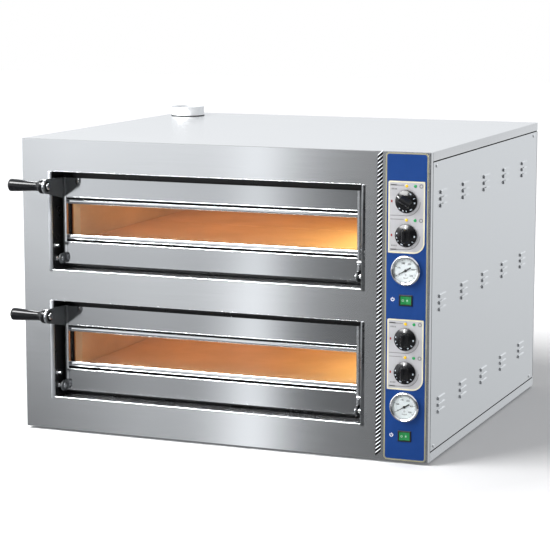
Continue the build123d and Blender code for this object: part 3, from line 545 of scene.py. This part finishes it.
def dress_nodes():
    """Gives every CAD node the material of its slot, or its own."""
    for entry in frame["record"]["subparts"]:
        node, slot = entry["node"], entry["material_slot"]
        mesh = NODES[node].data
        mesh.materials.clear()
        mesh.materials.append(MATERIALS[OWN_MATERIAL.get(node, slot)])


dress_nodes()


# ---------------------------------------------------------------- mesh helpers

def piece(name, mesh, material, body, smooth_angle=35.0):
    """A finished mesh as a piece that rides on a body."""
    made = bpy.data.objects.new(name, mesh)
    SCENE.collection.objects.link(made)
    mesh.materials.append(MATERIALS[material])
    if smooth_angle:
        mesh.shade_smooth()
        mesh.set_sharp_from_angle(angle=math.radians(smooth_angle))
    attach(made, body)
    return made


def from_bmesh(name, form):
    """The finished mesh of a form, with its faces turned outwards."""
    mesh = bpy.data.meshes.new(name)
    bmesh.ops.recalc_face_normals(form, faces=form.faces)
    form.to_mesh(mesh)
    form.free()
    return mesh


def bridge(form, one, two):
    """Faces between two closed loops of the same number of points."""
    for index in range(len(one)):
        after = (index + 1) % len(one)
        form.faces.new((one[index], two[index], two[after], one[after]))


def round_outline(depth, z, radius):
    """The outline of a rolled edge, about its middle."""
    angles = [math.pi * step / 8 for step in range(16)]
    return [(depth + radius * math.cos(angle), z + radius * math.sin(angle)) for angle in angles]


def lathe(name, profile, axis_place, turn=Matrix.Identity(4), steps=72):
    """A closed turned form: profile is (radius, height) in millimetres, its axis along the local z."""
    form = bmesh.new()
    rings = []
    for radius, height in profile:
        if radius < 1e-6:
            rings.append([form.verts.new((0, 0, height * MM))])
            continue
        rings.append([
            form.verts.new((radius * MM * math.cos(angle), radius * MM * math.sin(angle), height * MM))
            for angle in (2 * math.pi * step / steps for step in range(steps))
        ])
    for low, high in zip(rings, rings[1:]):
        for step in range(steps):
            after = (step + 1) % steps
            corners = [low[step % len(low)], low[after % len(low)]]
            corners += [high[after % len(high)], high[step % len(high)]]
            corners = list(dict.fromkeys(corners))
            if len(corners) > 2:
                form.faces.new(corners)
    form.transform(Matrix.Translation(axis_place) @ turn)
    return from_bmesh(name, form)


FORWARD = Matrix.Rotation(math.radians(90), 4, "X")      # local z points out of the front, local y up


def outline_sheet(name, outlines, place, thickness):
    """Flat marks standing off the front: outlines are lists of (x, z) in millimetres about place."""
    form = bmesh.new()
    for outline in outlines:
        front = [form.verts.new((x * MM, -thickness, z * MM)) for x, z in outline]
        back = [form.verts.new((x * MM, 0, z * MM)) for x, z in outline]
        form.faces.new(front)
        form.faces.new(back[::-1])
        bridge(form, front, back)
    form.transform(Matrix.Translation(place))
    return from_bmesh(name, form)


def bar(x0, z0, x1, z1, width):
    """A straight mark from one point to another."""
    along = Vector((x1 - x0, z1 - z0)).normalized() * width / 2
    side = Vector((-along.y, along.x))
    return [(x0 + side.x, z0 + side.y), (x0 - side.x, z0 - side.y),
            (x1 - side.x, z1 - side.y), (x1 + side.x, z1 + side.y)]


def arc(radius, width, start_deg, end_deg, steps=24):
    """A ring segment about the origin, clockwise from the top."""
    angles = [math.radians(start_deg + (end_deg - start_deg) * step / steps) for step in range(steps + 1)]
    outer, inner = ([(r * math.sin(angle), r * math.cos(angle)) for angle in angles]
                    for r in (radius + width / 2, radius - width / 2))
    return outer + inner[::-1]


def shifted(outline, x, z):
    """An outline moved along x and z."""
    return [(px + x, pz + z) for px, pz in outline]


def rounded(x0, x1, z0, z1, radii, steps=8):
    """A rectangle's outline, its corner radii from low left to low right, high right and high left."""
    corners = [(x0, z0, 180), (x1, z0, 270), (x1, z1, 0), (x0, z1, 90)]
    outline = []
    for (x, z, turn), radius in zip(corners, radii):
        centre_x = x + radius * (1 if x == x0 else -1)
        centre_z = z + radius * (1 if z == z0 else -1)
        for step in range(steps + 1):
            angle = math.radians(turn + 90 * step / steps)
            outline.append((centre_x + radius * math.cos(angle), centre_z + radius * math.sin(angle)))
    return outline


def frame_sheet(name, outer, inner, place, thickness):
    """A flat ring between two outlines of equal length."""
    form = bmesh.new()
    loops = []
    for outline, y in ((outer, -thickness), (inner, -thickness), (inner, 0), (outer, 0)):
        loops.append([form.verts.new((x * MM, y, z * MM)) for x, z in outline])
    for one, two in zip(loops, loops[1:] + loops[:1]):
        bridge(form, two, one)
    form.transform(Matrix.Translation(place))
    return from_bmesh(name, form)


def length_bar(name, section, x0, x1):
    """A straight bar along x: section is its closed outline of (depth, z) points, all in body millimetres."""
    form = bmesh.new()
    ends = [[form.verts.new(at(x, depth, z)) for depth, z in section] for x in (x0, x1)]
    form.faces.new(ends[0])
    form.faces.new(ends[1][::-1])
    bridge(form, *ends)
    return from_bmesh(name, form)


def block(name, x, depth, z):
    """A box with its edges eased, given by (low, high) pairs in body millimetres."""
    form = bmesh.new()
    bmesh.ops.create_cube(form, size=1.0)
    sizes = [(pair[1] - pair[0]) * MM for pair in (x, depth, z)]
    form.transform(Matrix.Diagonal((*sizes, 1)))
    bmesh.ops.bevel(form, geom=form.edges[:], offset=min(sizes) * 0.2, segments=2, affect="EDGES")
    form.transform(Matrix.Translation(at(*[(pair[0] + pair[1]) / 2 for pair in (x, depth, z)])))
    return from_bmesh(name, form)


def bowed(depth, z0, z1, bow, steps=10):
    """The outline of a bar with a flat back at the depth of its last value and a rounded front."""
    front, back = depth
    middle, half = (z0 + z1) / 2, (z1 - z0) / 2
    outline = [(back, z0), (back, z1)]
    for step in range(steps + 1):
        angle = math.radians(90 - 180 * step / steps)
        outline.append((front + bow * (1 - math.cos(angle)), middle + half * math.sin(angle)))
    return outline


def joined(name, meshes):
    """Several meshes as one."""
    form = bmesh.new()
    for mesh in meshes:
        form.from_mesh(mesh)
        bpy.data.meshes.remove(mesh)
    return from_bmesh(name, form)


def body_box(node):
    """A node's box in body millimetres: (low, high) along x, depth and z."""
    low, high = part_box(node)
    return [((a - o) / MM, (b - o) / MM) for a, b, o in zip(low, high, ORIGIN)]


# ---------------------------------------------------------------- casing

def side_joint_shade():
    """Black strips in the joints round each side panel, above, below and in front of it: painted shade standing in
    for the shadow in the open joints.
    """
    for side, node in (("right", "right_side_panel"), ("left", "left_side_panel")):
        _, (front, rear), (low, high) = body_box(node)
        width = body_box("top_cover")[0][1]
        x = (width - 1.45, width - 0.55) if side == "right" else (0.55, 1.45)
        gap = 2.9
        strips = [
            block(f"{side}_joint_shade_top", x, (front, rear), (high + 0.05, high + gap)),
            block(f"{side}_joint_shade_bottom", x, (front, rear), (low - gap, low - 0.05)),
            block(f"{side}_joint_shade_front", x, (front - gap, front - 0.05), (low - gap, high + gap)),
        ]
        piece(f"{side}_panel_joint_shade", joined(f"{side}_panel_joint_shade", strips), "black_seal_and_shade", "casing", 0)


def vent_lips():
    """The pressed lips between the slanted vent slots of the fascia, and a black sheet behind the slots: painted
    shade that makes the slots read dark.
    """
    count, base_z, pitch, slot_height, rise = 75, 7.0, 9.13, 5.2, 11.0
    x0, x1 = 896.3, 907.6
    form = bmesh.new()
    for index in range(count):
        z = base_z + index * pitch + slot_height
        section = [(0.15, z + 0.4), (-1.3, z + 0.8), (-1.15, z + 1.4), (0.15, z + 3.5)]
        ends = [[form.verts.new(at(x, depth, height + lift)) for depth, height in section]
                for x, lift in ((x0, 0.6), (x1, rise - 0.6))]
        form.faces.new(ends[0])
        form.faces.new(ends[1][::-1])
        bridge(form, *ends)
    piece("vent_lips", from_bmesh("vent_lips", form), "painted_highlight_steel", "casing", 0)
    # A black sheet behind the slots: painted shade for the dark inside of the vents.
    shade_sheet = block("vent_shade_sheet", (892.5, 911.0), (1.7, 2.3), (4.0, 696.0))
    piece("vent_shade_sheet", shade_sheet, "black_seal_and_shade", "casing", 0)


def collar_foot_shade():
    """A dark ring round the steam collar's foot: painted shadow where the collar meets the top cover."""
    low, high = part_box("steam_collar")
    foot = Vector(((low.x + high.x) / 2, (low.y + high.y) / 2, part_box("top_cover")[1].z))
    radius = (high.x - low.x) / 2 / MM
    ring = [(radius - 0.1, 0), (radius + 1.3, 0), (radius + 1.1, 1.0), (radius - 0.1, 2.8), (radius - 0.1, 0)]
    piece("collar_foot_shadow_ring", lathe("collar_foot_shadow_ring", ring, foot, steps=96), "black_seal_and_shade", "casing", 40)


def doorway_edges(deck):
    """The rolled edges of a doorway: thin bright ones above and below, thick ones at its sides."""
    base = deck_base(deck)
    x0, x1 = DOORWAY_X
    for place, z, radius in (("top", base + 236.1, 1.0), ("bottom", base - 0.9, 1.6)):
        mesh = length_bar(f"{deck}_doorway_{place}_edge", round_outline(0.9, z, radius), x0, x1)
        piece(f"{deck}_doorway_{place}_edge", mesh, "painted_highlight_steel", "casing", 50)
    rolled = [(0, 0), (3.4, 0), (4.5, 0.6), (4.95, 1.8), (4.95, 238.2), (4.5, 239.4), (3.4, 240), (0, 240)]
    # Left beads get the lit copy of the steel and right beads the shaded copy: painted light and shade for how the
    # light falls on each side.
    for side, x, tone in (("left", x0 - 4.75, "bead_painted_lit"), ("right", x1 + 4.75, "bead_painted_shaded")):
        mesh = lathe(f"{deck}_bead_{side}", rolled, at(x, 1.0, base - 4.0), steps=48)
        piece(f"{deck}_bead_{side}", mesh, tone, "casing", 40)


# ---------------------------------------------------------------- doors

def door(deck):
    """A door's glass, rounded trims, rolled edges, black strips of painted shade in the gaps round the glass and
    trims, and whiter strips on the stiles as a painted highlight.
    """
    base = deck_base(deck)
    body = f"{deck}_door"
    (x0, x1), _, _ = body_box(f"{deck}_door_frame")

    glass = block(f"{deck}_glass_pane", (x0 + 4.0, x1 - 4.0), (50.2, 53.6), (base + 66.2, base + 169.3))
    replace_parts(piece(f"{deck}_glass_pane", glass, "clear_glass", body, 0),
                f"{deck}_door_glass")

    bars = [
        length_bar(f"{deck}_trim_{place}", bowed((42.0, 50.0), base + low, base + high, 2.6), x0 + 7, x1 - 7)
        for place, low, high in (("low", 68.5, 81.0), ("high", 154.7, 165.8))
    ]
    trims = piece(f"{deck}_trims", joined(f"{deck}_trims", bars), "trim_steel", body, 50)
    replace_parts(trims, f"{deck}_door_trims")

    # Black strips in the gaps above and below the trims and beside the glass: painted shade in place of the shadow
    # in those gaps.
    door_shade_strips = [
        block(f"{deck}_gasket_{place}", (x0 + 6.5, x1 - 6.5), (43.5, 49.8), (base + low, base + high))
        for place, low, high in (("low", 65.4, 68.3), ("high", 166.0, 170.8))
    ]
    door_shade_strips.extend(
        block(f"{deck}_gasket_{place}", (x, x + 5.8), (53.65, 53.95), (base + 68.0, base + 167.0))
        for place, x in (("left", x0 + 6.1), ("right", x1 - 11.9))
    )
    piece(f"{deck}_gaskets", joined(f"{deck}_gaskets", door_shade_strips), "black_seal_and_shade", body, 0)

    lips = [
        length_bar(f"{deck}_lip_{place}", round_outline(35.0, z, radius), x0 + 6, x1 - 6)
        for place, z, radius in (("low", base + 63.3, 1.4), ("high", base + 172.2, 1.2))
    ]
    piece(f"{deck}_panel_lips", joined(f"{deck}_panel_lips", lips), "painted_highlight_steel", body, 50)

    # Flat strips of whiter steel on the stiles: a painted highlight for the light the stiles' rounded edges catch.
    for side, x in (("left", x0 + 0.4), ("right", x1 - 5.6)):
        strip = block(f"{deck}_stile_highlight_{side}", (x, x + 5.2), (33.0, 34.4), (base + 12.8, base + 217.8))
        piece(f"{deck}_stile_highlight_{side}", strip, "painted_highlight_steel", body, 0)


def handle(deck):
    """The turned phenolic grip, and the dark washer round the lever's screw."""
    node = f"{deck}_handle_grip"
    low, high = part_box(node)
    axis = Vector((high.x, (low.y + high.y) / 2, (low.z + high.z) / 2))
    outward = Matrix.Rotation(math.radians(-90), 4, "Y")
    length = (high.x - low.x) / MM
    profile = [(0, 0), (16.8, 0), (17.3, 0.6), (17.3, 8.2), (16.7, 9.4), (14.4, 12.0), (12.4, 14.6),
               (11.6, 18.0), (11.3, 23.0), (11.5, 30), (12.1, 40), (12.9, 52), (13.7, 64), (14.4, 75),
               (14.8, 84), (14.8, length - 5.2), (14.3, length - 4.3), (8.8, length - 0.4), (7.6, length),
               (0, length)]
    turned = lathe(f"{node}_turned", profile, axis, outward, 96)
    grip = piece(f"{node}_turned", turned, "phenolic", f"{deck}_door", 40)
    grip.visible_glossy = False
    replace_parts(grip, node)

    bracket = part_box(f"{deck}_handle_bracket")
    spot = Vector((bracket[1].x, axis.y, axis.z))
    inward = Matrix.Rotation(math.radians(90), 4, "Y")
    ring = [(8.4, 0), (12.2, 0), (12.2, 0.5), (11.6, 1.1), (9.0, 1.1), (8.4, 0.6), (8.4, 0)]
    washer = lathe(f"{deck}_lever_washer", ring, spot, inward, 64)
    piece(f"{deck}_lever_washer", washer, "black_seal_and_shade", f"{deck}_door", 40)


# ---------------------------------------------------------------- control column

def column_border():
    """The thin printed line round the blue film."""
    low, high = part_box("control_overlay")
    half_x, half_z = (high.x - low.x) / 2 / MM, (high.z - low.z) / 2 / MM
    place = Vector(((low.x + high.x) / 2, FILM_Y, (low.z + high.z) / 2))
    edge = 3.2
    outer = rounded(-half_x, half_x, -half_z, half_z, (8,) * 4)
    inner = rounded(edge - half_x, half_x - edge, edge - half_z, half_z - edge, (5.5,) * 4)
    mesh = frame_sheet("column_border", outer, inner, place, 0.12 * MM)
    piece("column_border", mesh, "border_ink", "casing", 0)


def plate_border(deck):
    """The cream edge of a deck's printed plate, and the thin lines and marks inside it."""
    base = deck_base(deck)
    low_x, high_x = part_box("control_plates")[0].x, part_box("control_plates")[1].x
    half = (high_x - low_x) / 2 / MM
    bottom, top = 86.5, 247.5
    place = Vector(((low_x + high_x) / 2, PLATE_Y, at(0, 0, base).z))
    edge = 3.1
    outer = rounded(-half, half, bottom, top, (4, 26, 4, 4))
    inner = rounded(edge - half, half - edge, bottom + edge, top - edge, (2, 22.6, 2, 2))
    mesh = frame_sheet(f"{deck}_plate_border", outer, inner, place, 0.12 * MM)
    piece(f"{deck}_plate_border", mesh, "cream_ink", "casing", 0)

    grey, red = [], []
    for name in PLACES:
        z = (PIVOT[f"{deck}_{name}_knob_turn"].z - place.z) / MM
        label_z = z + 27.5 if name == "top" else z - 23.0
        rule_z = z + 36.4 if name == "top" else z - 31.6
        grey.append(bar(-38, z + 36.0, -6, z + 36.0, 1.7))
        grey.append(bar(-38, z - 31.6, 1, z - 31.6, 1.8))
        grey.append(shifted(arc(31.6, 1.8, 90, 180, 20), 0, z))
        grey.append(bar(-37, rule_z, -23, rule_z, 3.2))
        grey.extend(bar(-35 + step * 3.4, label_z, -32.6 + step * 3.4, label_z, 3.6) for step in range(4))
        grey.append(shifted(arc(3.6, 2.6, 0, 359.0, 24), 33.9, z + 34.8))
        red.append(shifted(rounded(-1.8, 1.8, -2.9, 2.9, (1.4,) * 4, 4), -34.6, z))
    piece(f"{deck}_plate_lines", outline_sheet(f"{deck}_plate_lines", grey, place, 0.10 * MM),
          "grey_ink", "casing", 0)
    piece(f"{deck}_plate_red_marks", outline_sheet(f"{deck}_plate_red_marks", red, place, 0.11 * MM),
          "red_ink", "casing", 0)


def knob(deck, place):
    """A knob with a marked, faceted skirt and a raised wedge of a grip, turned as its CAD node is."""
    node = f"{deck}_{place}_knob"
    pivot = PIVOT[f"{deck}_{place}_knob_turn"]
    body = f"{deck}_{place}_dial"
    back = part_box(node)[1].y
    centre = Vector((pivot.x, back, pivot.z))
    turn = Matrix.Rotation(math.radians(-60 if (deck, place) == ("upper", "top") else 0), 4, "Y")
    rim_radius, rim_height = 24.6, 4.1
    crown_radius, crown_height = 15.0, 9.35
    profile = [(0, 0), (24.9, 0), (25.4, 0.4), (25.5, 1.2), (25.5, 3.1), (25.1, 3.8),
               (rim_radius, rim_height), (crown_radius, crown_height), (13.6, 9.6), (0, 9.6)]
    slope = math.atan2(crown_height - rim_height, rim_radius - crown_radius)
    skirt = piece(f"{node}_skirt", lathe(f"{node}_skirt", profile, centre, FORWARD, 96), "knob_black", body,
                  28)

    # The grip: a wedge with a wide foot on the skirt and a narrow, slightly bowed ridge
    form = bmesh.new()
    levels = ((9.2, 11.0, 15.5), (12.0, 9.6, 15.2), (18.0, 5.2, 14.4), (21.0, 3.6, 13.6), (22.0, 2.4, 12.6))
    rings = []
    for depth, half_width, half_length in levels:
        corner = min(half_width * 0.8, 5.0)
        outline = rounded(-half_width, half_width, -half_length, half_length, (corner,) * 4, 5)
        rings.append([form.verts.new((x * MM, -depth * MM, z * MM)) for x, z in outline])
    form.faces.new(rings[0])
    form.faces.new(rings[-1][::-1])
    for lower_ring, upper_ring in zip(rings, rings[1:]):
        bridge(form, upper_ring, lower_ring)
    form.transform(Matrix.Translation(centre) @ turn)
    piece(f"{node}_grip", from_bmesh(f"{node}_grip", form), "knob_black", body, 40)

    def on_skirt(mesh, angle, radius):
        """Lays a mark made about its own middle on the skirt's sloping face."""
        depth = rim_height + (rim_radius - radius) * math.tan(slope)
        spot = Matrix.Translation((0, -depth * MM, radius * MM)) @ Matrix.Rotation(-slope, 4, "X")
        round_knob = turn @ Matrix.Rotation(math.radians(angle), 4, "Y")
        mesh.transform(Matrix.Translation(centre) @ round_knob @ spot)
        return mesh

    origin = Vector((0, 0, 0))
    pointer = outline_sheet(f"{node}_pointer", [bar(0, -4.0, 0, 4.0, 2.3)], origin, 0.4 * MM)
    piece(f"{node}_pointer", on_skirt(pointer, 0, 20.4), "white_ink", body, 0)

    ticks = []
    for angle, width, length in ((92, 4.2, 2.8), (128, 1.6, 4.4), (156, 3.4, 2.8), (204, 5.4, 2.4),
                                 (236, 1.4, 3.4), (257, 3.2, 2.8), (284, 3.2, 2.8)):
        stroke = [bar(0, -length / 2, 0, length / 2, width)]
        ticks.append(on_skirt(outline_sheet(f"{node}_tick", stroke, origin, 0.35 * MM), angle, 20.8))
    piece(f"{node}_ticks", joined(f"{node}_ticks", ticks), "pale_mark", body, 0)
    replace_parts(skirt, node)


def gauge(deck):
    """The dial thermometer's printed scale and its rolled, polished bezel."""
    pivot = PIVOT[f"{deck}_needle_turn"]
    dial_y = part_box("gauge_dials")[0].y
    place = Vector((pivot.x, dial_y, pivot.z))
    black, grey = [], []
    scale_start, outer = -120, 26.4
    for step in range(51):
        angle = math.radians(scale_start + step * 5)
        across, up = math.sin(angle), math.cos(angle)
        strokes, inner, width = (black, 22.4, 1.0) if step % 10 == 0 else (grey, 24.4, 0.45)
        strokes.append(bar(inner * across, inner * up, outer * across, outer * up, width))
    grey.append(arc(26.6, 0.4, scale_start, 130, 60))
    grey.append(shifted(arc(1.5, 1.0, 0, 359, 16), 0, -9.6))
    grey.extend(arc(17.0, 2.2, angle, angle + 5.0, 3) for angle in (159, 166, 173, 180, 187, 194))
    piece(f"{deck}_gauge_scale", outline_sheet(f"{deck}_gauge_scale", black, place, 0.08 * MM),
          "black_ink", "casing", 0)
    piece(f"{deck}_gauge_ticks", outline_sheet(f"{deck}_gauge_ticks", grey, place, 0.08 * MM),
          "grey_ink", "casing", 0)
    for step in range(6):
        angle = math.radians(scale_start + step * 50)
        text = bpy.data.curves.new(f"{deck}_gauge_number_{step}", "FONT")
        text.body = str(step * 100)
        text.size = 5.4 * MM
        text.offset = 0.12 * MM
        text.align_x, text.align_y = "CENTER", "CENTER"
        text.extrude = 0.03 * MM
        text.materials.append(MATERIALS["black_ink"])
        number = bpy.data.objects.new(f"{deck}_gauge_number_{step}", text)
        SCENE.collection.objects.link(number)
        number.location = place + Vector((17.2 * math.sin(angle), -0.05, 17.2 * math.cos(angle))) * MM
        number.rotation_euler = (math.radians(90), 0, 0)
        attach(number, "casing")

    face = Vector((pivot.x, FILM_Y, pivot.z))
    ring = [(27.8, 6.4), (28.0, 6.8), (30.0, 8.7), (30.7, 9.1), (31.4, 9.1), (32.1, 8.8), (34.1, 6.8),
            (34.4, 6.1), (34.4, 0.1), (31.5, 0.1), (31.5, 6.4), (27.8, 6.4)]
    bezel = lathe(f"{deck}_gauge_bezel", ring, face, FORWARD, 128)
    piece(f"{deck}_gauge_bezel", bezel, "chrome", "casing", 40)


def rocker_marks(deck):
    """The two plain marks on a switch's paddle, which ride on it, and the symbol printed to its left."""
    pivot = PIVOT[f"{deck}_rocker_tilt"]
    tilt = Matrix.Rotation(math.radians(7), 4, "Z")
    ring_x, stroke_x = -6.6, 3.2
    ring = shifted(arc(2.0, 1.1, 0, 359, 20), ring_x, 0)
    stroke = bar(stroke_x, -1.9, stroke_x, 1.9, 3.0)
    sheets = []
    for mark, middle, face, lean in ((ring, ring_x, -2.75, 8.6), (stroke, stroke_x, -2.45, -8.6)):
        sheet = outline_sheet(f"{deck}_rocker_mark", [mark], Vector((0, 0, 0)), 0.5 * MM)
        swing = (Matrix.Translation((middle * MM, face * MM, 0)) @ Matrix.Rotation(math.radians(lean), 4, "Z")
                 @ Matrix.Translation((-middle * MM, 0, 0)))
        sheet.transform(Matrix.Translation(pivot) @ tilt @ swing)
        sheets.append(sheet)
    piece(f"{deck}_rocker_marks", joined(f"{deck}_rocker_marks", sheets), "switch_mark", f"{deck}_switch",
          0)

    place = Vector((pivot.x - 31 * MM, FILM_Y, pivot.z + 1.2 * MM))
    symbol = [arc(3.6, 1.5, 40, 320, 24), bar(0, 0.6, 0, 4.8, 1.4)]
    piece(f"{deck}_switch_symbol", outline_sheet(f"{deck}_switch_symbol", symbol, place, 0.12 * MM),
          "white_ink", "casing", 0)


side_joint_shade()
vent_lips()
collar_foot_shade()
column_border()
for deck_name in DECKS:
    doorway_edges(deck_name)
    door(deck_name)
    handle(deck_name)
    plate_border(deck_name)
    gauge(deck_name)
    rocker_marks(deck_name)
    for place_name in PLACES:
        knob(deck_name, place_name)
